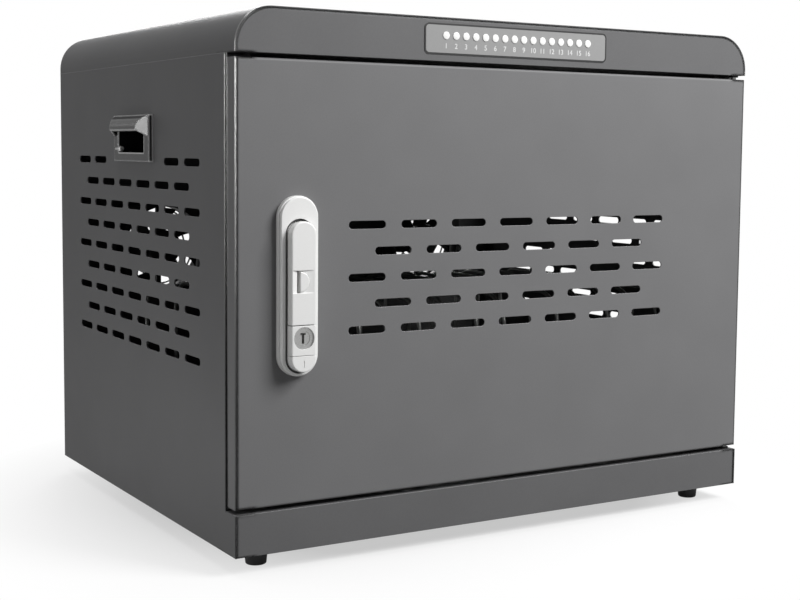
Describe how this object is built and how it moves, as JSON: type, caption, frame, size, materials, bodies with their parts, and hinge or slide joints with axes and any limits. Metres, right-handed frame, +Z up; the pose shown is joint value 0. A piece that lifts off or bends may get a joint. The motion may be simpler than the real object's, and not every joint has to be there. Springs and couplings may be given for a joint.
{
  "type": "charging cabinet",
  "caption": "Desktop charging cabinet: grey sheet-steel box with a vented hinged door, keyed lock handle, numbered indicator strip, side grips, divided bays and a rear charging unit.",
  "frame": {"origin": "middle of the overall box, on the ground the feet stand on", "axes": "+X to the right seen from the front, +Y to the back, +Z up; the door faces -Y"},
  "size_m": [0.5654, 0.4704, 0.458],
  "materials": {
    "powder_coat": "fine-textured grey powder coat",
    "silver_lacquer": "satin silver lacquer on a zinc casting",
    "bright_steel": "nickel-plated steel",
    "zinc_steel": "zinc-plated steel",
    "grip_plastic": "moulded black plastic",
    "black_plastic": "black engineering plastic",
    "rubber": "black rubber",
    "panel_film": "grey printed overlay",
    "lens": "clear-white moulded lens",
    "lamp": "small light-emitting diode",
    "circuit_board": "green solder mask",
    "supply_case": "potted black case",
    "brass": "plain brass"
  },
  "bodies": {
    "cabinet": {"left_side_panel": "powder_coat", "right_side_panel": "powder_coat", "top_cover": "powder_coat", "front_fascia": "powder_coat", "plinth_panel": "powder_coat", "floor_pan": "powder_coat", "left_jamb": "powder_coat", "right_jamb": "powder_coat", "rear_panel": "powder_coat", "bay_tray": "powder_coat", "charger_housing": "powder_coat", "grip_screws": "bright_steel", "foot_screws": "zinc_steel", "foot_nuts": "zinc_steel", "fan_guards": "zinc_steel", "fan_screws": "zinc_steel", "inlet_screws": "zinc_steel", "charger_pillars": "zinc_steel", "indicator_pillars": "zinc_steel", "charging_ports": "zinc_steel", "bay_dividers": "zinc_steel", "left_grip": "grip_plastic", "right_grip": "grip_plastic", "left_fan_frame": "black_plastic", "right_fan_frame": "black_plastic", "mains_inlet": "black_plastic", "switch_body": "black_plastic", "feet": "rubber", "door_bumpers": "rubber", "bay_mats": "rubber", "indicator_panel": "panel_film", "indicator_lenses": "lens", "indicator_lamps": "lamp", "indicator_board": "circuit_board", "charger_board": "circuit_board", "power_supplies": "supply_case", "inlet_pins": "brass", "hinge_bushes": "black_plastic"},
    "door": {"door_panel": "powder_coat", "door_stiffeners": "powder_coat", "hinge_pins": "zinc_steel", "lock_base": "silver_lacquer", "handle_bracket": "zinc_steel", "cylinder_block": "silver_lacquer", "lock_end_cap": "silver_lacquer", "lock_cylinder": "bright_steel", "lock_nut": "zinc_steel", "lock_screws": "zinc_steel"},
    "handle": {"lock_handle": "silver_lacquer", "handle_pin": "zinc_steel"},
    "button": {"release_button": "silver_lacquer"},
    "key": {"key_plug": "bright_steel", "lock_cam": "zinc_steel", "cam_screw": "zinc_steel"},
    "left_fan": {"left_fan_rotor": "black_plastic"},
    "right_fan": {"right_fan_rotor": "black_plastic"},
    "rocker": {"switch_rocker": "black_plastic"}
  },
  "joints": [
    {"name": "door_hinge", "type": "hinge", "parent": "cabinet", "child": "door", "pos_m": [0.264, -0.209, 0.236], "axis": [0, 0, 1], "range_deg": [0, 110]},
    {"name": "handle_lift", "type": "hinge", "parent": "door", "child": "handle", "pos_m": [-0.2172, -0.23, 0.2807], "axis": [-1, 0, 0], "range_deg": [0, 40]},
    {"name": "button_press", "type": "slide", "parent": "handle", "child": "button", "axis": [0, 1, 0], "range_m": [0, 0.002], "stiffness_N_per_m": 500},
    {"name": "key_turn", "type": "hinge", "parent": "door", "child": "key", "pos_m": [-0.2172, -0.219, 0.1935], "axis": [0, -1, 0], "range_deg": [0, 90]},
    {"name": "left_fan_spin", "type": "hinge", "parent": "cabinet", "child": "left_fan", "pos_m": [-0.165, 0.211, 0.238], "axis": [0, 1, 0], "continuous": true},
    {"name": "right_fan_spin", "type": "hinge", "parent": "cabinet", "child": "right_fan", "pos_m": [0.165, 0.211, 0.238], "axis": [0, 1, 0], "continuous": true},
    {"name": "switch_rock", "type": "hinge", "parent": "cabinet", "child": "rocker", "pos_m": [0.16, 0.229, 0.401], "axis": [1, 0, 0], "range_deg": [0, 16]}
  ]
}
